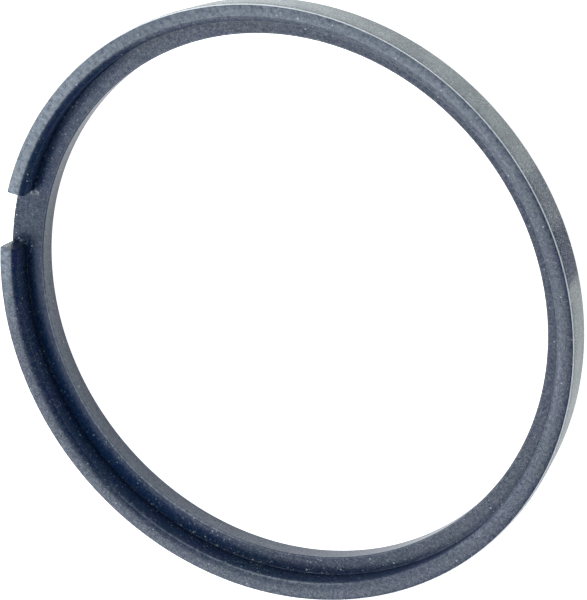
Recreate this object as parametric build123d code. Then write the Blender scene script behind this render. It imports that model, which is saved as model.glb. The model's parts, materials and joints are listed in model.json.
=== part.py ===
from build123d import *
import os

# Milk claw seal: one moulded rubber ring with an L-shaped section.
#
# The base is a flat ring that lies between the two halves of the claw, and its
# bore is the clear way through. A lip stands up from the base's outer edge and
# flares outwards to a short straight band under the rim face. The rim of the
# claw's bowl sits inside the lip, on the ledge that the base leaves around the
# bore, and one notch in the lip lets the rim's locating tab through.
#
# Frame: the ring lies on its back face at z = 0, with the lip upwards. +Z runs
# along the ring's axis, and +X points at the notch. All sizes are in mm.

# The recess that holds the bowl's rim
recess_diameter = 94.0  # inside of the lip
ledge_width = 3.0  # from the recess wall in to the bore
lip_height = 3.8  # from the ledge up to the rim face

# The walls around it
base_thickness = 3.2  # from the back face up to the ledge
lip_thickness = 3.0  # at the rim face
lip_flare = 1.0  # how far the rim stands out past the back face's edge
rim_band = 1.1  # straight band on the outside, below the rim face

# The notch through the lip
notch_width = 9.5  # between the lip's two flat ends

# Moulded edges
rim_outer_round = 0.2
rim_inner_round = 0.8
notch_end_round = 0.3
bore_edge_chamfer = 0.3
back_edge_chamfer = 0.4

# How far the notch cutter runs past the lip, so that it leaves no skin
cutter_margin = 1.0

# What follows from those sizes
recess_radius = recess_diameter / 2
bore_radius = recess_radius - ledge_width
rim_radius = recess_radius + lip_thickness
back_radius = rim_radius - lip_flare
height = base_thickness + lip_height


def corner_at(outline, place):
    """The corner of a flat outline that lies at this radius and height."""
    return outline.vertices().sort_by_distance((*place, 0))[0]


def section():
    """One side of the ring as cut through its axis, with the radius along X and z along Y."""
    back_edge = (back_radius, 0)
    rim_outside = (rim_radius, height)
    rim_inside = (recess_radius, height)
    bore_edge = (bore_radius, base_thickness)
    path = Polyline(
        (bore_radius, 0),
        back_edge,
        (rim_radius, height - rim_band),
        rim_outside,
        rim_inside,
        (recess_radius, base_thickness),
        bore_edge,
        close=True,
    )
    outline = make_face(path)
    outline = fillet(corner_at(outline, rim_outside), rim_outer_round)
    outline = fillet(corner_at(outline, rim_inside), rim_inner_round)
    outline = chamfer(corner_at(outline, bore_edge), bore_edge_chamfer)
    return chamfer(corner_at(outline, back_edge), back_edge_chamfer)


def notch_cutter():
    """A block from the axis out through the lip, with its underside on the ledge."""
    block = Box(
        rim_radius + cutter_margin,
        notch_width,
        lip_height + cutter_margin,
        align=(Align.MIN, Align.CENTER, Align.MIN),
    )
    return Pos(0, 0, base_thickness) * block


def round_lip_ends(ring):
    """Rounds both ends of the lip, from the ledge up the inside, over the top and down the band.

    Each end's outline has no corner on that way, so a round on its top edge
    runs on along all of it.
    """
    top_edges = ring.edges().filter_by(Axis.X).group_by(Axis.Z)[-1]
    return fillet(top_edges, notch_end_round)


def seal_ring():
    """The whole seal as one solid."""
    ring = revolve(Plane.XZ * section(), Axis.Z)
    return round_lip_ends(ring - notch_cutter())


os.makedirs("parts", exist_ok=True)
export_step(seal_ring(), "parts/seal_ring.step")
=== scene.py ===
"""The finish, the stage and the camera for the milk claw seal.

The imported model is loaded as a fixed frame. The rubber ring is modelled again
on the frame's sizes with its moulded rounds, and stands for the frame's node.
"""

import json
import math
from types import SimpleNamespace

import bpy
from bpy.props import FloatProperty, FloatVectorProperty, IntProperty, PointerProperty
from bpy.types import Operator, Panel, PropertyGroup
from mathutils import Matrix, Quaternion, Vector


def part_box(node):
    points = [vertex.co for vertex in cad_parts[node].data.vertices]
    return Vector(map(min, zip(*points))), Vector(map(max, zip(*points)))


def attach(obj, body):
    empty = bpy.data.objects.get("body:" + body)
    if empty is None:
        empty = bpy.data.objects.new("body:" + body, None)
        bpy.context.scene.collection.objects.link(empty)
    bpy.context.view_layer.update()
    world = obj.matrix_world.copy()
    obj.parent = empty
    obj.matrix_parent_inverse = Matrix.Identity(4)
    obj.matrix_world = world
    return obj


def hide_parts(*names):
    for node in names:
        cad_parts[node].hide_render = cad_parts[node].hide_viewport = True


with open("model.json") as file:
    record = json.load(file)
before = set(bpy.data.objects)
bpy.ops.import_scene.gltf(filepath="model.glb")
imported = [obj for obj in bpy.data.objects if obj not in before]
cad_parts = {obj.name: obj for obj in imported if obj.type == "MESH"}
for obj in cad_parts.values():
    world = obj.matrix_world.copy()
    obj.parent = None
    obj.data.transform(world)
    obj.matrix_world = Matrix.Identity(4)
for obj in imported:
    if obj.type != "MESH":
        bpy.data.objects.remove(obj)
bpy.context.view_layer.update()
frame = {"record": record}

bl_info = {
    "name": "Milk claw seal",
    "version": (1, 0, 0),
    "blender": (4, 5, 0),
    "location": "3D View > Sidebar > Seal",
    "description": "Models the rubber seal ring of a milk claw and the stage that it lies on",
    "category": "Object",
}

MM = 0.001
NEAR = 0.002 * MM  # closer than this, two places are the same

# Sizes that the frame gives, in metres
mounts = {mount["name"]: mount for mount in frame["record"]["mounts"]}
_, ring_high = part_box("seal_ring")
RECESS_RADIUS = mounts["recess"]["dims"]["r_mm"] * MM
BORE_RADIUS = mounts["bore"]["dims"]["r_mm"] * MM
LEDGE_Z = mounts["ledge"]["pos_m"][2]
RIM_Z = ring_high.z
RIM_RADIUS = ring_high.y

# The rim face's crown. Its places, from the outer edge inwards, and its rounds are
# parts of the lip's width
CROWN_TOP = 0.37
CROWN_TOP_ROUND = 0.2
CROWN_KNEE = 0.72
CROWN_KNEE_ROUND = 0.12
CROWN_OUTER_SLOPE = 0.045
CROWN_INNER_SLOPE = 0.1

# Smooth shading
SHARP_ANGLE = math.radians(40)
LARGE_FACE_WEIGHT = 80

# Patterns in the rubber's skin, as repeats to the metre
MOTTLE_SCALE = 1300
GRAIN_SCALE = 4200
STREAK_SCALE = 160
TOOL_LINE_SCALE = 5000
SPECK_SCALE = 1700
FINE_SPECK_SCALE = 3300
CORNER_SPECK_SCALE = 2200
SOFT_SPECK_EDGE = 0.3  # of a speck's size

# What the mottle's noise holds in its dullest and its palest patches
MOTTLE_LOW = 0.3
MOTTLE_HIGH = 0.7

# How far some marks are turned from the places that a user sets, in radians
SPECKED_LEDGE_TURN = 0.8
NEAR_CORNER_TURN = 1.05
BARE_TURN = -0.1
DUSTY_TOP_TURN = -1.4

# How far the roughness goes below and above its middle
ROUGHNESS_BELOW = 0.05
ROUGHNESS_ABOVE = 0.06

SENSOR_WIDTH = 36  # of the camera, in millimetres


class SealSizes(PropertyGroup):
    """Sizes of the rubber ring that the frame doesn't state."""

    lip_flare: FloatProperty(
        name="Lip flare",
        description="How far the rim stands out past the back face's edge",
        default=1.0 * MM,
        unit="LENGTH",
    )
    rim_band: FloatProperty(
        name="Rim band",
        description="Height of the straight band below the rim face",
        default=1.1 * MM,
        unit="LENGTH",
    )
    notch_width: FloatProperty(
        name="Notch width",
        description="Gap between the lip's two ends",
        default=9.5 * MM,
        unit="LENGTH",
    )
    rim_crown: FloatProperty(
        name="Rim crown",
        description="How far the rim face falls away towards its inner edge",
        default=0.35 * MM,
        unit="LENGTH",
    )
    rim_outer_round: FloatProperty(
        name="Rim outer round",
        description="Radius of the rim's outer edge",
        default=0.2 * MM,
        unit="LENGTH",
    )
    rim_inner_round: FloatProperty(
        name="Rim inner round",
        description="Radius of the rim's inner edge",
        default=0.2 * MM,
        unit="LENGTH",
    )
    recess_corner_round: FloatProperty(
        name="Recess corner round",
        description="Radius between the lip's inner wall and the ledge",
        default=0.22 * MM,
        unit="LENGTH",
    )
    bore_edge_round: FloatProperty(
        name="Bore edge round",
        description="Radius of the ledge's inner edge",
        default=0.18 * MM,
        unit="LENGTH",
    )
    back_edge_round: FloatProperty(
        name="Back edge round",
        description="Radius of the back face's outer edge",
        default=0.4 * MM,
        unit="LENGTH",
    )
    back_bore_round: FloatProperty(
        name="Back bore round",
        description="Radius of the back face's inner edge",
        default=0.12 * MM,
        unit="LENGTH",
    )
    notch_end_round: FloatProperty(
        name="Notch end round",
        description="Radius around the lip's two ends",
        default=0.3 * MM,
        unit="LENGTH",
    )
    round_segments: IntProperty(
        name="Round segments",
        description="Segments across each round of the section",
        default=6,
        min=1,
    )
    ring_segments: IntProperty(
        name="Ring segments",
        description="Segments of the lip around the axis",
        default=500,
        min=32,
    )
    notch_segments: IntProperty(
        name="Notch segments",
        description="Segments of the base under the notch",
        default=16,
        min=2,
    )


class RubberLook(PropertyGroup):
    """Colours and finish of the rubber, with its painted shade, highlights and reflection."""

    rubber_colour: FloatVectorProperty(
        name="Rubber colour",
        description="Dark blue-black of the rubber itself",
        default=(0.002, 0.015, 0.044),
        subtype="COLOR",
        min=0,
        max=1,
    )
    second_colour: FloatVectorProperty(
        name="Second rubber colour",
        description="The rubber's more violet patches",
        default=(0.005, 0.013, 0.050),
        subtype="COLOR",
        min=0,
        max=1,
    )
    # Painted shade: the bluer colour that the rubber shows in the lip's shade, put on the ledge's outer
    # part and a little on the wall
    fresh_colour: FloatVectorProperty(
        name="Fresh colour",
        description="The deeper blue inside the recess, where nothing has rubbed it",
        default=(0.001, 0.022, 0.085),
        subtype="COLOR",
        min=0,
        max=1,
    )
    # Painted reflection: the grey-green that the pale floor gives the outer wall and the bore, put on
    # as colour
    film_colour: FloatVectorProperty(
        name="Film colour",
        description="Grey-green film on the outer wall and in the bore",
        default=(0.44, 0.55, 0.49),
        subtype="COLOR",
        min=0,
        max=1,
    )
    # Also the colour of the painted highlights along the inner edges of the ledge and the rim
    dust_colour: FloatVectorProperty(
        name="Dust colour",
        description="Pale dust in the rubber's skin",
        default=(0.47, 0.54, 0.60),
        subtype="COLOR",
        min=0,
        max=1,
    )
    dust_amount: FloatProperty(
        name="Dust amount",
        description="How much dust the most mottled places hold",
        default=0.012,
        subtype="FACTOR",
        min=0,
        max=1,
    )
    worn_colour: FloatVectorProperty(
        name="Worn colour",
        description="Pale line along the rim's outer edge",
        default=(0.85, 0.87, 0.88),
        subtype="COLOR",
        min=0,
        max=1,
    )
    roughness: FloatProperty(
        name="Roughness",
        description="Middle roughness of the satin skin",
        default=0.31,
        subtype="FACTOR",
        min=0,
        max=1,
    )
    # Where the painted shade blue is strongest
    fresh_angle: FloatProperty(
        name="Fresh place",
        description="Where the recess is the bluest, turned from the notch",
        default=math.radians(15),
        subtype="ANGLE",
        unit="ROTATION",
    )
    matte_angle: FloatProperty(
        name="Matte place",
        description="Where the ledge is more matte, turned from the notch",
        default=math.radians(50),
        subtype="ANGLE",
        unit="ROTATION",
    )
    dull_angle: FloatProperty(
        name="Dull place",
        description="Where the ledge's outer part and the rim's inner edge have the least gloss",
        default=math.radians(-16),
        subtype="ANGLE",
        unit="ROTATION",
    )
    specked_angle: FloatProperty(
        name="Specked place",
        description="Where the recess holds the most fine specks, turned from the notch",
        default=math.radians(45),
        subtype="ANGLE",
        unit="ROTATION",
    )
    # Also where a painted highlight lies along the rim's inner edge
    corner_dust_angle: FloatProperty(
        name="Dusty corner",
        description="Where specks lie in the recess's corner and the rim's inner edge is worn pale",
        default=math.radians(85),
        subtype="ANGLE",
        unit="ROTATION",
    )
    # Painted highlight: where the pale line along the ledge's inner edge is strongest
    bore_line_angle: FloatProperty(
        name="Pale bore edge",
        description="Where the ledge's inner edge is worn pale, turned from the notch",
        default=math.radians(50),
        subtype="ANGLE",
        unit="ROTATION",
    )
    dusty_angle: FloatProperty(
        name="Dusty place",
        description="Where the rim face is dusty, turned from the notch",
        default=math.radians(-14),
        subtype="ANGLE",
        unit="ROTATION",
    )
    pale_edge_angle: FloatProperty(
        name="Pale inner edge",
        description="Where the rim face is paler along its inner edge, turned from the notch",
        default=math.radians(165),
        subtype="ANGLE",
        unit="ROTATION",
    )
    # Where the outer wall's painted reflection is taken off, which leaves a darker patch
    rubbed_angle: FloatProperty(
        name="Rubbed place",
        description="Where the outer wall's pale film is rubbed off, turned from the notch",
        default=math.radians(212),
        subtype="ANGLE",
        unit="ROTATION",
    )


class StageSettings(PropertyGroup):
    """The camera, the floor and the light."""

    camera_azimuth: FloatProperty(
        name="Camera azimuth",
        description="Where the camera stands, turned from the ring's -Y side towards its +X side",
        default=math.radians(-38.95),
        subtype="ANGLE",
        unit="ROTATION",
    )
    camera_elevation: FloatProperty(
        name="Camera elevation",
        description="How high the camera looks down from",
        default=math.radians(58.29),
        subtype="ANGLE",
        unit="ROTATION",
    )
    camera_roll: FloatProperty(
        name="Camera roll",
        description="Turn of the camera about its line of sight",
        default=math.radians(-128.136),
        subtype="ANGLE",
        unit="ROTATION",
    )
    camera_distance: FloatProperty(
        name="Camera distance",
        description="From the point that it aims at",
        default=1.0,
        unit="LENGTH",
    )
    camera_aim: FloatVectorProperty(
        name="Camera aim",
        description="The place in the middle of the frame",
        default=(0.484 * MM, 1.221 * MM, 0.775 * MM),
        subtype="XYZ",
        unit="LENGTH",
    )
    focal_length: FloatProperty(
        name="Focal length",
        description="In millimetres, on a 36 mm sensor",
        default=376.5,
        unit="CAMERA",
    )
    floor_size: FloatProperty(
        name="Floor size",
        description="Width of the square floor",
        default=6.0,
        unit="LENGTH",
    )
    floor_colour: FloatVectorProperty(
        name="Floor colour",
        description="Plain pale paper",
        default=(0.9, 0.9, 0.9),
        subtype="COLOR",
        min=0,
        max=1,
    )
    floor_glow: FloatProperty(
        name="Floor glow",
        description="Light from below, as on a light table, which keeps the paper white up to the ring",
        default=1.1,
        min=0,
    )
    light_colour: FloatVectorProperty(
        name="Light colour",
        description="Cool white of the soft lights",
        default=(0.89, 0.955, 1.0),
        subtype="COLOR",
        min=0,
        max=1,
    )
    world_colour: FloatVectorProperty(
        name="Room colour",
        description="Light from the room all round",
        default=(0.04, 0.04, 0.04),
        subtype="COLOR",
        min=0,
        max=1,
    )


def edit_mode():
    bpy.ops.object.mode_set(mode="EDIT")


def object_mode():
    bpy.ops.object.mode_set(mode="OBJECT")


def select_vertices(piece, test):
    """In object mode, selects just the vertices that pass the test, and the edges between them.

    The test is given each vertex's place.
    """
    mesh = piece.data
    for face in mesh.polygons:
        face.select = False
    for vertex in mesh.vertices:
        vertex.select = test(vertex.co)
    for edge in mesh.edges:
        edge.select = all(mesh.vertices[i].select for i in edge.vertices)


def start_piece(name):
    """A new piece at the origin, with one vertex, in edit mode."""
    bpy.ops.object.select_all(action="DESELECT")
    bpy.ops.mesh.primitive_plane_add(size=MM)
    piece = bpy.context.object
    piece.name = name
    piece.data.name = name
    edit_mode()
    bpy.ops.mesh.select_mode(type="VERT")
    bpy.ops.mesh.select_all(action="SELECT")
    bpy.ops.mesh.merge(type="CENTER")
    return piece


def section_corners(sizes):
    """The section's corners from the bore's back edge round to the ledge, as ((radius, z), round).

    The rim face is crowned. It falls away a little from its top line to the outer
    edge, and more to the inner edge, in two steps that the rounds turn into one curve.
    """
    back_radius = RIM_RADIUS - sizes.lip_flare
    band_z = RIM_Z - sizes.rim_band
    foot_radius = back_radius + sizes.lip_flare * LEDGE_Z / band_z
    lip_width = RIM_RADIUS - RECESS_RADIUS
    top_radius = RIM_RADIUS - CROWN_TOP * lip_width
    top_round = CROWN_TOP_ROUND * lip_width
    knee_radius = RIM_RADIUS - CROWN_KNEE * lip_width
    knee_round = CROWN_KNEE_ROUND * lip_width
    slopes = CROWN_OUTER_SLOPE + CROWN_INNER_SLOPE
    top_z = RIM_Z + top_round * CROWN_OUTER_SLOPE * CROWN_INNER_SLOPE / slopes
    outer_z = top_z - CROWN_OUTER_SLOPE * (RIM_RADIUS - top_radius)
    knee_z = top_z - CROWN_INNER_SLOPE * (top_radius - knee_radius)
    return [
        ((BORE_RADIUS, 0), sizes.back_bore_round),
        ((back_radius, 0), sizes.back_edge_round),
        ((foot_radius, LEDGE_Z), 0),
        ((RIM_RADIUS, band_z), 0),
        ((RIM_RADIUS, outer_z), sizes.rim_outer_round),
        ((top_radius, top_z), top_round),
        ((knee_radius, knee_z), knee_round),
        ((RECESS_RADIUS, RIM_Z - sizes.rim_crown), sizes.rim_inner_round),
        ((RECESS_RADIUS, LEDGE_Z), sizes.recess_corner_round),
        ((BORE_RADIUS, LEDGE_Z), sizes.bore_edge_round),
    ]


def draw_section(corners):
    """Draws a closed section in the XZ plane by extruding the one vertex from corner to corner."""
    here = Vector((0, 0))
    for number, (place, _) in enumerate(corners):
        step = Vector(place) - here
        move = {"value": (step.x, 0, step.y)}
        if number == 0:
            bpy.ops.transform.translate(**move)
        else:
            bpy.ops.mesh.extrude_region_move(TRANSFORM_OT_translate=move)
        here = Vector(place)
    bpy.ops.mesh.select_all(action="SELECT")
    bpy.ops.mesh.edge_face_add()


def round_section(piece, corners, segments):
    """Rounds the section's corners, each by its own radius."""
    for (radius, z), size in corners:
        if size == 0:
            continue
        object_mode()
        select_vertices(piece, lambda co: abs(co.x - radius) < NEAR and abs(co.z - z) < NEAR)
        edit_mode()
        bpy.ops.mesh.bevel(offset=size, segments=segments, profile=0.5, affect="VERTICES")


def at_end(place, side, notch_angle):
    """Whether a place is on the flat radial cut at the notch's +Y side (1) or its -Y side (-1)."""
    return abs(math.atan2(place.y, place.x) - side * notch_angle) * RIM_RADIUS < NEAR


def is_lip(place, sizes):
    """Whether a place is on the lip above its foot."""
    radius = math.hypot(place.x, place.y)
    return place.z > LEDGE_Z + NEAR and radius > RECESS_RADIUS - sizes.recess_corner_round


def is_lip_or_foot(place, sizes):
    """Whether a place is on the lip or on the line where it leaves the base."""
    radius = math.hypot(place.x, place.y)
    return place.z > LEDGE_Z - NEAR and radius > RECESS_RADIUS - sizes.recess_corner_round - NEAR


def spin_ring(piece, sizes, notch_angle):
    """Spins the section the long way round, from one side of the notch to the other.

    Its base is then spun on to the start, under the notch. With no window, rotate
    and spin both turn clockwise for a positive angle.
    """
    centre = {"center": (0, 0, 0), "axis": (0, 0, 1)}
    bpy.ops.mesh.select_all(action="SELECT")
    bpy.ops.mesh.delete(type="ONLY_FACE")
    bpy.ops.mesh.select_all(action="SELECT")
    bpy.ops.transform.rotate(value=notch_angle, orient_axis="Z", center_override=(0, 0, 0))
    bpy.ops.mesh.spin(steps=sizes.ring_segments, angle=math.tau - 2 * notch_angle, **centre)
    object_mode()
    select_vertices(piece, lambda co: at_end(co, 1, notch_angle) and not is_lip(co, sizes))
    edit_mode()
    bpy.ops.mesh.spin(steps=sizes.notch_segments, angle=2 * notch_angle, **centre)
    bpy.ops.mesh.select_all(action="SELECT")
    bpy.ops.mesh.remove_doubles(threshold=NEAR)


def round_lip_end(piece, sizes, side, notch_angle):
    """Brings one end of the lip to its flat face in steps, drawing it in a little more at each."""
    half = sizes.notch_width / 2
    size = sizes.notch_end_round
    object_mode()
    select_vertices(
        piece, lambda co: at_end(co, side, notch_angle) and is_lip_or_foot(co, sizes)
    )
    edit_mode()
    bpy.ops.mesh.select_mode(type="EDGE")
    middle = (RECESS_RADIUS + RIM_RADIUS) / 2
    half_lip = (RIM_RADIUS - RECESS_RADIUS) / 2
    lip_height = RIM_Z - LEDGE_Z
    bpy.ops.transform.resize(value=(1, 0, 1), center_override=(0, side * (half + size), 0))
    reach = 0
    inset = 0
    for step in range(1, sizes.round_segments + 1):
        turn = math.pi / 2 * step / sizes.round_segments
        new_reach = size * math.sin(turn)
        new_inset = size * (1 - math.cos(turn))
        y = half + size - new_reach
        centre = (math.sqrt(middle**2 - y**2), side * y, LEDGE_Z)
        narrower = (half_lip - new_inset) / (half_lip - inset)
        lower = (lip_height - new_inset) / (lip_height - inset)
        move = {"value": (0, side * (reach - new_reach), 0)}
        bpy.ops.mesh.extrude_region_move(TRANSFORM_OT_translate=move)
        bpy.ops.transform.resize(value=(narrower, 1, lower), center_override=centre)
        reach = new_reach
        inset = new_inset
    bpy.ops.mesh.edge_face_add()
    bpy.ops.mesh.select_mode(type="VERT")


def fill_notch_floor():
    """Closes what is still open, which is the flat floor between the lip's ends."""
    bpy.ops.mesh.select_all(action="DESELECT")
    bpy.ops.mesh.select_non_manifold()
    bpy.ops.mesh.edge_face_add()
    bpy.ops.mesh.select_all(action="SELECT")
    bpy.ops.mesh.normals_make_consistent(inside=False)
    bpy.ops.mesh.select_all(action="DESELECT")


def smooth_by_area(piece):
    """Smooth shading that keeps the large flat faces flat."""
    object_mode()
    bpy.ops.object.shade_smooth_by_angle(angle=SHARP_ANGLE)
    bpy.ops.object.modifier_add(type="WEIGHTED_NORMAL")
    modifier = piece.modifiers[-1]
    modifier.keep_sharp = True
    modifier.weight = LARGE_FACE_WEIGHT
    bpy.ops.object.modifier_apply(modifier=modifier.name)


def node(tree, kind, inputs, **options):
    """Adds a node and fills its inputs with numbers or with other nodes' outputs."""
    made = tree.nodes.new(kind)
    for name, value in options.items():
        setattr(made, name, value)
    for name, value in inputs.items():
        if isinstance(value, bpy.types.NodeSocket):
            tree.links.new(value, made.inputs[name])
        else:
            made.inputs[name].default_value = value
    return made


def calculate(tree, operation, first, second):
    """The result of one operation on two values."""
    return node(tree, "ShaderNodeMath", {0: first, 1: second}, operation=operation).outputs[0]


def both(tree, *values):
    """The values multiplied together."""
    result = values[0]
    for value in values[1:]:
        result = calculate(tree, "MULTIPLY", result, value)
    return result


def total(tree, *values):
    """The values added together."""
    result = values[0]
    for value in values[1:]:
        result = calculate(tree, "ADD", result, value)
    return result


def rise(tree, value, low, high, start=0.0, end=1.0):
    """Goes softly from the start to the end while the value goes from low to high."""
    inputs = {"Value": value, "From Min": low, "From Max": high, "To Min": start, "To Max": end}
    return node(
        tree, "ShaderNodeMapRange", inputs, interpolation_type="SMOOTHSTEP"
    ).outputs["Result"]


def past(tree, value, edge, low, high, start=0.0, end=1.0):
    """Goes softly from the start to the end between two places, both in mm past an edge."""
    return rise(tree, value, edge + low * MM, edge + high * MM, start, end)


def between(tree, value, edge, low, high, soft):
    """One between two places, in mm past an edge, and down to zero over some more mm each side."""
    above = past(tree, value, edge, low - soft, low)
    below = past(tree, value, edge, high, high + soft, 1.0, 0.0)
    return both(tree, above, below)


def around(tree, at, angle, low, high):
    """One near this angle from the notch, by the cosine of what lies between.

    It starts to rise from zero where the cosine is low, and is one from high on. A
    cosine of 0.9 is 26 degrees away, and one of 0.97 is 14.
    """
    way = (math.cos(angle), math.sin(angle), 0)
    cosine = node(
        tree, "ShaderNodeVectorMath", {0: at.heading, 1: way}, operation="DOT_PRODUCT"
    ).outputs["Value"]
    return rise(tree, cosine, low, high)


def less_on(tree, mask, least=0.0):
    """One away from a mask, and down to the least on it."""
    return rise(tree, mask, 0.0, 1.0, 1.0, least)


def mottled(tree, skin, low, high):
    """From low to high with the skin's mottle."""
    return rise(tree, skin.mottle, MOTTLE_LOW, MOTTLE_HIGH, low, high)


def noise(tree, place, scale, detail, roughness=0.5):
    """Soft noise about a middle of 0.5."""
    inputs = {"Vector": place, "Scale": scale, "Detail": detail, "Roughness": roughness}
    return node(tree, "ShaderNodeTexNoise", inputs).outputs["Fac"]


def dust_specks(tree, place, scale, size, share):
    """Round specks, one in a share of the cells, of up to this size as a part of a cell."""
    cells = node(
        tree, "ShaderNodeTexVoronoi", {"Vector": place, "Scale": scale, "Randomness": 1.0}
    ).outputs
    chance = node(tree, "ShaderNodeSeparateColor", {"Color": cells["Color"]}).outputs
    picked = calculate(tree, "LESS_THAN", chance["Red"], share)
    reach = both(tree, chance["Green"], size)
    inside = calculate(tree, "SUBTRACT", reach, cells["Distance"])
    return both(tree, picked, rise(tree, inside, 0.0, size * SOFT_SPECK_EDGE))


def ring_places(tree):
    """Where a point of the surface lies on the ring."""
    place = node(tree, "ShaderNodeTexCoord", {}).outputs["Object"]
    axes = node(tree, "ShaderNodeSeparateXYZ", {"Vector": place}).outputs
    flat = node(tree, "ShaderNodeCombineXYZ", {"X": axes["X"], "Y": axes["Y"]}).outputs[0]
    radius = node(tree, "ShaderNodeVectorMath", {0: flat}, operation="LENGTH").outputs["Value"]
    return SimpleNamespace(
        place=place,
        radius=radius,
        z=axes["Z"],
        across=node(tree, "ShaderNodeMath", {0: axes["Y"]}, operation="ABSOLUTE").outputs[0],
        section=node(tree, "ShaderNodeCombineXYZ", {"X": radius, "Z": axes["Z"]}).outputs[0],
        heading=node(tree, "ShaderNodeVectorMath", {0: flat}, operation="NORMALIZE").outputs[0],
    )


def skin_patterns(tree, at):
    """The patterns that break up the rubber's colour, gloss and relief."""
    return SimpleNamespace(
        mottle=noise(tree, at.place, MOTTLE_SCALE, detail=5, roughness=0.75),
        grain=noise(tree, at.place, GRAIN_SCALE, detail=3, roughness=0.7),
        streaks=noise(tree, at.place, STREAK_SCALE, detail=3),
        tool_lines=noise(tree, at.section, TOOL_LINE_SCALE, detail=1),
        specks=dust_specks(tree, at.place, SPECK_SCALE, size=0.32, share=0.13),
        fine_specks=dust_specks(tree, at.place, FINE_SPECK_SCALE, size=0.5, share=0.25),
        corner_specks=dust_specks(tree, at.place, CORNER_SPECK_SCALE, size=0.5, share=0.5),
    )


def ring_faces(tree, at):
    """Masks of the ring's faces and edges, in mm past the edge that each line names."""
    faces = SimpleNamespace()
    faces.outside = both(
        tree,
        past(tree, at.radius, RIM_RADIUS, -1.1, -1.0),
        past(tree, at.z, RIM_Z, -0.3, -0.18, 1.0, 0.0),
    )
    faces.rim = both(
        tree,
        between(tree, at.radius, RIM_RADIUS, -1.9, -0.2, 0.2),
        past(tree, at.z, RIM_Z, -0.3, -0.2),
    )
    faces.rim_edge = both(
        tree,
        past(tree, at.radius, RIM_RADIUS, -0.17, -0.14),
        past(tree, at.z, RIM_Z, -0.18, -0.15),
    )
    faces.wall = both(
        tree,
        between(tree, at.radius, RECESS_RADIUS, -0.05, 0.1, 0.03),
        between(tree, at.z, LEDGE_Z, 0.2, 3.4, 0.05),
    )
    faces.ledge = between(tree, at.z, LEDGE_Z, -0.1, 0.05, 0.05)
    faces.bore_edge = both(
        tree,
        between(tree, at.radius, BORE_RADIUS, 0.05, 0.25, 0.05),
        past(tree, at.z, LEDGE_Z, -0.2, -0.1),
    )
    faces.bore = past(tree, at.radius, BORE_RADIUS, 0.0, 0.02, 1.0, 0.0)
    faces.notch_floor = both(tree, around(tree, at, 0.0, 0.992, 0.996), faces.ledge)
    return faces


def recess_marks(tree, look, sizes, at, faces):
    """Masks of the marks on the ledge, in its corners and on the bore's edge."""
    marks = SimpleNamespace()
    marks.corner = both(
        tree,
        between(tree, at.radius, RECESS_RADIUS, -0.7, -0.2, 0.1),
        between(tree, at.z, LEDGE_Z, -0.1, 0.1, 0.1),
        around(tree, at, look.corner_dust_angle, 0.9, 0.97),
    )
    marks.near_corner = both(
        tree,
        faces.ledge,
        past(tree, at.radius, RECESS_RADIUS, -1.6, -0.4),
        around(tree, at, look.corner_dust_angle + NEAR_CORNER_TURN, 0.4, 0.9),
    )
    marks.lip_foot = both(
        tree,
        between(tree, at.across, sizes.notch_width / 2, -0.6, 0.05, 0.15),
        between(tree, at.radius, RECESS_RADIUS, -0.9, 1.7, 0.3),
        around(tree, at, 0.0, 0.98, 0.99),
        faces.ledge,
    )
    specked_ledge = total(
        tree,
        past(tree, at.radius, RECESS_RADIUS, -1.7, -0.9),
        around(tree, at, look.specked_angle + SPECKED_LEDGE_TURN, 0.5, 0.9),
    )
    marks.specked = both(
        tree,
        total(tree, faces.wall, faces.ledge),
        around(tree, at, look.specked_angle, -0.2, 0.6),
        calculate(tree, "MINIMUM", specked_ledge, 1.0),
        less_on(tree, faces.notch_floor, 0.4),
    )
    marks.dull = both(
        tree,
        faces.ledge,
        past(tree, at.radius, RECESS_RADIUS, -2.1, -0.4),
        around(tree, at, look.dull_angle, 0.8, 0.97),
        less_on(tree, faces.notch_floor),
    )
    # Painted shade: a bluer colour where the lip shades the ledge, strongest next to the lip and on the
    # side that the angle sets
    marks.fresh = both(
        tree,
        total(tree, faces.ledge, both(tree, faces.wall, 0.25)),
        past(tree, at.radius, BORE_RADIUS, 0.3, 1.6, 0.25, 1.0),
        around(tree, at, look.fresh_angle, 0.0, 0.85),
        less_on(tree, faces.notch_floor),
    )
    marks.matte = both(tree, around(tree, at, look.matte_angle, -0.2, 0.7), faces.ledge)
    # Painted highlight along the ledge's inner edge
    marks.bore_line = both(
        tree, faces.bore_edge, around(tree, at, look.bore_line_angle, 0.72, 0.9)
    )
    return marks


def lip_marks(tree, look, at, faces):
    """Masks of the marks on the rim face and the outer wall."""
    marks = SimpleNamespace()
    marks.pale_edge = both(
        tree,
        between(tree, at.radius, RECESS_RADIUS, 0.4, 0.8, 0.3),
        past(tree, at.z, RIM_Z, -0.5, -0.4),
        around(tree, at, look.pale_edge_angle, 0.8, 0.97),
    )
    marks.inner_rim = both(
        tree,
        between(tree, at.radius, RECESS_RADIUS, 0.05, 0.7, 0.2),
        past(tree, at.z, RIM_Z, -0.6, -0.5),
        around(tree, at, look.dull_angle, 0.75, 0.95),
    )
    # Painted highlight: a pale line along the rim face's inner edge
    marks.rim_line = both(
        tree,
        between(tree, at.radius, RECESS_RADIUS, 0.12, 0.32, 0.08),
        past(tree, at.z, RIM_Z, -0.5, -0.4),
        around(tree, at, look.corner_dust_angle, 0.85, 0.95),
    )
    marks.dusty = both(tree, around(tree, at, look.dusty_angle, 0.75, 0.99), faces.rim)
    marks.dusty_top = both(
        tree, around(tree, at, look.dusty_angle + DUSTY_TOP_TURN, 0.5, 0.95), faces.rim
    )
    # A darker patch on the outer wall, where the painted reflection and the gloss are taken down and
    # pale specks lie, and its darkest middle
    marks.rubbed = both(tree, around(tree, at, look.rubbed_angle, 0.972, 0.992), faces.outside)
    marks.bare = both(
        tree, around(tree, at, look.rubbed_angle + BARE_TURN, 0.9925, 0.9985), faces.outside
    )
    return marks


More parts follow.
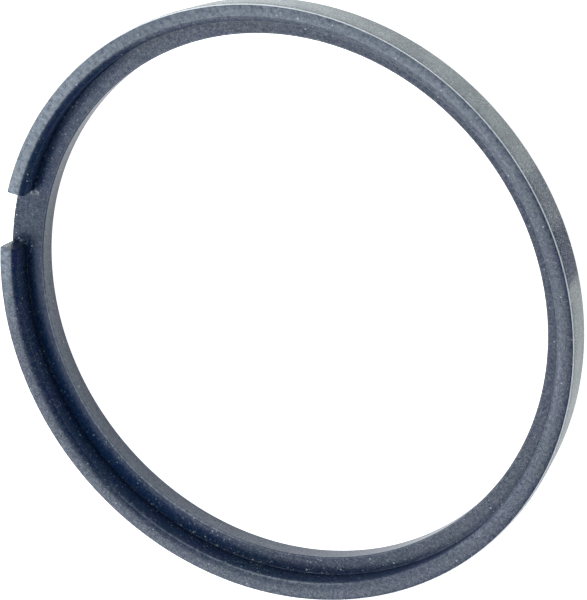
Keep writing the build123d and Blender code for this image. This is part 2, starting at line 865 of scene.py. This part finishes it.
def film_cover(tree, skin, faces, on_lip):
    """How much of the painted grey-green reflection of the pale floor covers the rubber, from none at 0
    to all of it at 1.
    """
    on_wall = both(
        tree,
        faces.outside,
        rise(tree, skin.streaks, 0.3, 0.7, 0.16, 0.31),
        rise(tree, skin.grain, 0.4, 0.6, 0.4, 1.5),
        # Less painted reflection in the darker patch, and none in its middle
        less_on(tree, on_lip.rubbed, 0.25),
        less_on(tree, on_lip.bare),
        less_on(tree, faces.notch_floor),
    )
    # A little painted reflection in the bore as well
    return total(tree, on_wall, both(tree, faces.bore, 0.05))


def dust_cover(tree, look, skin, faces, in_recess, on_lip):
    """How much of the pale dust, and of the painted highlights along the inner edges of the ledge and
    the rim, covers the rubber, from none at 0 to all of it at 1.
    """
    dust = total(
        tree,
        rise(tree, skin.mottle, 0.45, 0.8, 0.0, look.dust_amount),
        rise(tree, skin.grain, 0.55, 0.85, 0.0, look.dust_amount),
        both(tree, skin.fine_specks, rise(tree, in_recess.specked, 0.0, 1.0, 0.12, 0.4)),
        both(tree, skin.specks, 0.5),
        both(tree, in_recess.specked, rise(tree, skin.grain, 0.42, 0.7, 0.0, 0.07)),
        # Pale specks in the darker patch on the outer wall
        both(tree, on_lip.rubbed, rise(tree, skin.grain, 0.5, 0.65, 0.0, 0.35)),
        both(tree, faces.outside, skin.fine_specks, 0.7),
        # Painted highlight along the ledge's inner edge: a faint line all round, and a stronger one
        # near the set angle
        both(tree, faces.bore_edge, 0.08),
        both(tree, in_recess.bore_line, mottled(tree, skin, 0.1, 0.35)),
        # Painted highlight along the rim's inner edge
        both(tree, on_lip.rim_line, mottled(tree, skin, 0.04, 0.19)),
        both(tree, on_lip.dusty, mottled(tree, skin, 0.12, 0.34)),
        both(tree, on_lip.dusty_top, mottled(tree, skin, 0.06, 0.22)),
        both(tree, on_lip.pale_edge, mottled(tree, skin, 0.0, 0.13)),
        both(tree, in_recess.corner, skin.corner_specks, 0.8),
        both(tree, in_recess.lip_foot, rise(tree, skin.mottle, 0.48, 0.6, 0.0, 0.4)),
    )
    return calculate(tree, "MINIMUM", dust, 1.0)


def gloss(tree, skin, faces, in_recess, on_lip):
    """The specular level, which the skin breaks up and some places dull to a share of it."""
    level = rise(tree, total(tree, skin.mottle, skin.grain, skin.grain), 1.25, 2.0, 0.26, 0.95)
    dulled = (
        (in_recess.matte, 0.55),
        (in_recess.near_corner, 0.7),
        (in_recess.dull, 0.4),
        (on_lip.inner_rim, 0.3),
        # Less gloss in the darker patch on the outer wall
        (on_lip.rubbed, 0.45),
        (on_lip.bare, 0.3),
        (faces.wall, 0.35),
        (faces.bore, 0.9),
    )
    for mask, share in dulled:
        level = both(tree, level, less_on(tree, mask, share))
    return level


def layered_colour(tree, base, layers):
    """The base colour under layers, each an amount and a colour, with the top one last."""
    colour = (*base, 1)
    for amount, layer in layers:
        inputs = {0: amount, 6: colour, 7: (*layer, 1)}
        colour = node(tree, "ShaderNodeMix", inputs, data_type="RGBA").outputs[2]
    return colour


def relief(tree, skin):
    """The fine grain and the turned lines of the mould, as bump."""
    height = total(tree, both(tree, skin.grain, 0.6), both(tree, skin.tool_lines, 0.25))
    inputs = {"Height": height, "Strength": 0.35, "Distance": 0.05 * MM}
    return node(tree, "ShaderNodeBump", inputs).outputs["Normal"]


def rubber_material(look, sizes):
    """Dark blue-black moulded rubber with pale dust in its skin, painted shade in the recess, painted
    highlights along the inner edges and a painted reflection on the walls.
    """
    material = bpy.data.materials.new("rubber")
    material.use_nodes = True
    tree = material.node_tree
    shader = tree.nodes["Principled BSDF"]

    at = ring_places(tree)
    skin = skin_patterns(tree, at)
    faces = ring_faces(tree, at)
    in_recess = recess_marks(tree, look, sizes, at, faces)
    on_lip = lip_marks(tree, look, at, faces)

    violet = rise(tree, skin.streaks, 0.35, 0.65)
    # A pale line along the rim's outer edge, broken by the mottle
    worn = both(tree, faces.rim_edge, rise(tree, skin.mottle, 0.3, 0.5, 0.7, 1.0))
    layers = (
        (violet, look.second_colour),
        # The painted shade blue in the recess
        (in_recess.fresh, look.fresh_colour),
        (film_cover(tree, skin, faces, on_lip), look.film_colour),
        (dust_cover(tree, look, skin, faces, in_recess, on_lip), look.dust_colour),
        (worn, look.worn_colour),
    )
    smoothest = look.roughness - ROUGHNESS_BELOW
    roughest = look.roughness + ROUGHNESS_ABOVE
    finish = {
        "Base Color": layered_colour(tree, look.rubber_colour, layers),
        "Roughness": mottled(tree, skin, smoothest, roughest),
        "Specular IOR Level": gloss(tree, skin, faces, in_recess, on_lip),
        "Normal": relief(tree, skin),
    }
    for name, value in finish.items():
        tree.links.new(value, shader.inputs[name])
    shader.inputs["IOR"].default_value = 1.5
    return material


class SEAL_OT_build_ring(Operator):
    """Model the rubber ring on the frame's sizes."""

    bl_idname = "seal.build_ring"
    bl_label = "Build rubber ring"

    def execute(self, context):
        sizes = context.scene.seal_sizes
        piece = start_piece("rubber_ring")
        corners = section_corners(sizes)
        draw_section(corners)
        round_section(piece, corners, sizes.round_segments)
        notch_angle = math.asin((sizes.notch_width / 2 + sizes.notch_end_round) / RIM_RADIUS)
        spin_ring(piece, sizes, notch_angle)
        for side in (1, -1):
            round_lip_end(piece, sizes, side, notch_angle)
        fill_notch_floor()
        smooth_by_area(piece)
        piece.data.materials.append(rubber_material(context.scene.rubber_look, sizes))
        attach(piece, "root")
        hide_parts("seal_ring")
        return {"FINISHED"}


def direction(azimuth, elevation):
    """A unit vector towards a place seen from the ring, with both angles in radians."""
    flat = math.cos(elevation)
    return Vector((math.sin(azimuth) * flat, -math.cos(azimuth) * flat, math.sin(elevation)))


def facing(away):
    """The turn of a camera or a light that looks back along this vector."""
    return (-away).to_track_quat("-Z", "Y")


def lay_floor(stage):
    """A plain sheet of pale paper, lit from below."""
    bpy.ops.mesh.primitive_plane_add(size=stage.floor_size)
    floor = bpy.context.object
    floor.name = "floor"
    paper = bpy.data.materials.new("pale_paper")
    paper.use_nodes = True
    shader = paper.node_tree.nodes["Principled BSDF"]
    shader.inputs["Base Color"].default_value = (*stage.floor_colour, 1)
    shader.inputs["Roughness"].default_value = 0.8
    shader.inputs["Emission Color"].default_value = (*stage.floor_colour, 1)
    shader.inputs["Emission Strength"].default_value = stage.floor_glow
    floor.data.materials.append(paper)


def hang_softbox(stage, name, azimuth, elevation, distance, size, power):
    """An area light that faces the ring. Its angles are in degrees."""
    away = direction(math.radians(azimuth), math.radians(elevation))
    bpy.ops.object.light_add(
        type="AREA", location=away * distance, rotation=facing(away).to_euler()
    )
    light = bpy.context.object
    light.name = name
    light.data.shape = "RECTANGLE"
    light.data.size, light.data.size_y = size
    light.data.energy = power
    light.data.color = stage.light_colour


def light_room(scene, stage):
    """Faint light all round."""
    world = bpy.data.worlds.new("room")
    scene.world = world
    world.use_nodes = True
    background = world.node_tree.nodes["Background"]
    background.inputs["Color"].default_value = (*stage.world_colour, 1)


def place_camera(scene, stage):
    """The camera, at the photograph's viewing angle."""
    away = direction(stage.camera_azimuth, stage.camera_elevation)
    place = Vector(stage.camera_aim) + away * stage.camera_distance
    roll = Quaternion((0, 0, 1), stage.camera_roll)
    turn = (facing(away) @ roll).to_euler()
    bpy.ops.object.camera_add(location=place, rotation=turn)
    camera = bpy.context.object
    camera.name = "camera"
    camera.data.lens = stage.focal_length
    camera.data.sensor_width = SENSOR_WIDTH
    camera.data.clip_end = 20
    scene.camera = camera


class SEAL_OT_build_stage(Operator):
    """Lay the pale floor, hang the soft lights and place the camera."""

    bl_idname = "seal.build_stage"
    bl_label = "Build stage"

    def execute(self, context):
        scene = context.scene
        stage = scene.stage_settings
        bpy.ops.object.select_all(action="DESELECT")
        lay_floor(stage)
        hang_softbox(stage, "key", 108, 41, distance=0.5, size=(0.56, 0.6), power=3.1)
        hang_softbox(stage, "low key", 150, 36, distance=0.5, size=(0.25, 0.49), power=1.15)
        hang_softbox(stage, "right fill", 40, 52, distance=1.0, size=(0.7, 0.7), power=3.2)
        hang_softbox(stage, "left fill", -120, 50, distance=1.0, size=(0.5, 0.5), power=1.2)
        light_room(scene, stage)
        place_camera(scene, stage)
        scene.view_settings.view_transform = "Standard"
        return {"FINISHED"}


class SEAL_PT_sidebar(Panel):
    """Lists the steps and the sizes."""

    bl_idname = "SEAL_PT_sidebar"
    bl_label = "Milk claw seal"
    bl_space_type = "VIEW_3D"
    bl_region_type = "UI"
    bl_category = "Seal"

    def draw(self, context):
        layout = self.layout
        scene = context.scene
        for step in STEPS:
            layout.operator(step.bl_idname)
        for group in (scene.seal_sizes, scene.rubber_look, scene.stage_settings):
            box = layout.box()
            for name in group.__annotations__:
                box.prop(group, name)


STEPS = (SEAL_OT_build_ring, SEAL_OT_build_stage)
CLASSES = (SealSizes, RubberLook, StageSettings, *STEPS, SEAL_PT_sidebar)


def register():
    for each in CLASSES:
        bpy.utils.register_class(each)
    bpy.types.Scene.seal_sizes = PointerProperty(type=SealSizes)
    bpy.types.Scene.rubber_look = PointerProperty(type=RubberLook)
    bpy.types.Scene.stage_settings = PointerProperty(type=StageSettings)


def unregister():
    del bpy.types.Scene.stage_settings
    del bpy.types.Scene.rubber_look
    del bpy.types.Scene.seal_sizes
    for each in reversed(CLASSES):
        bpy.utils.unregister_class(each)


def main():
    register()
    bpy.ops.seal.build_ring()
    bpy.ops.seal.build_stage()


if __name__ == "__main__":
    main()
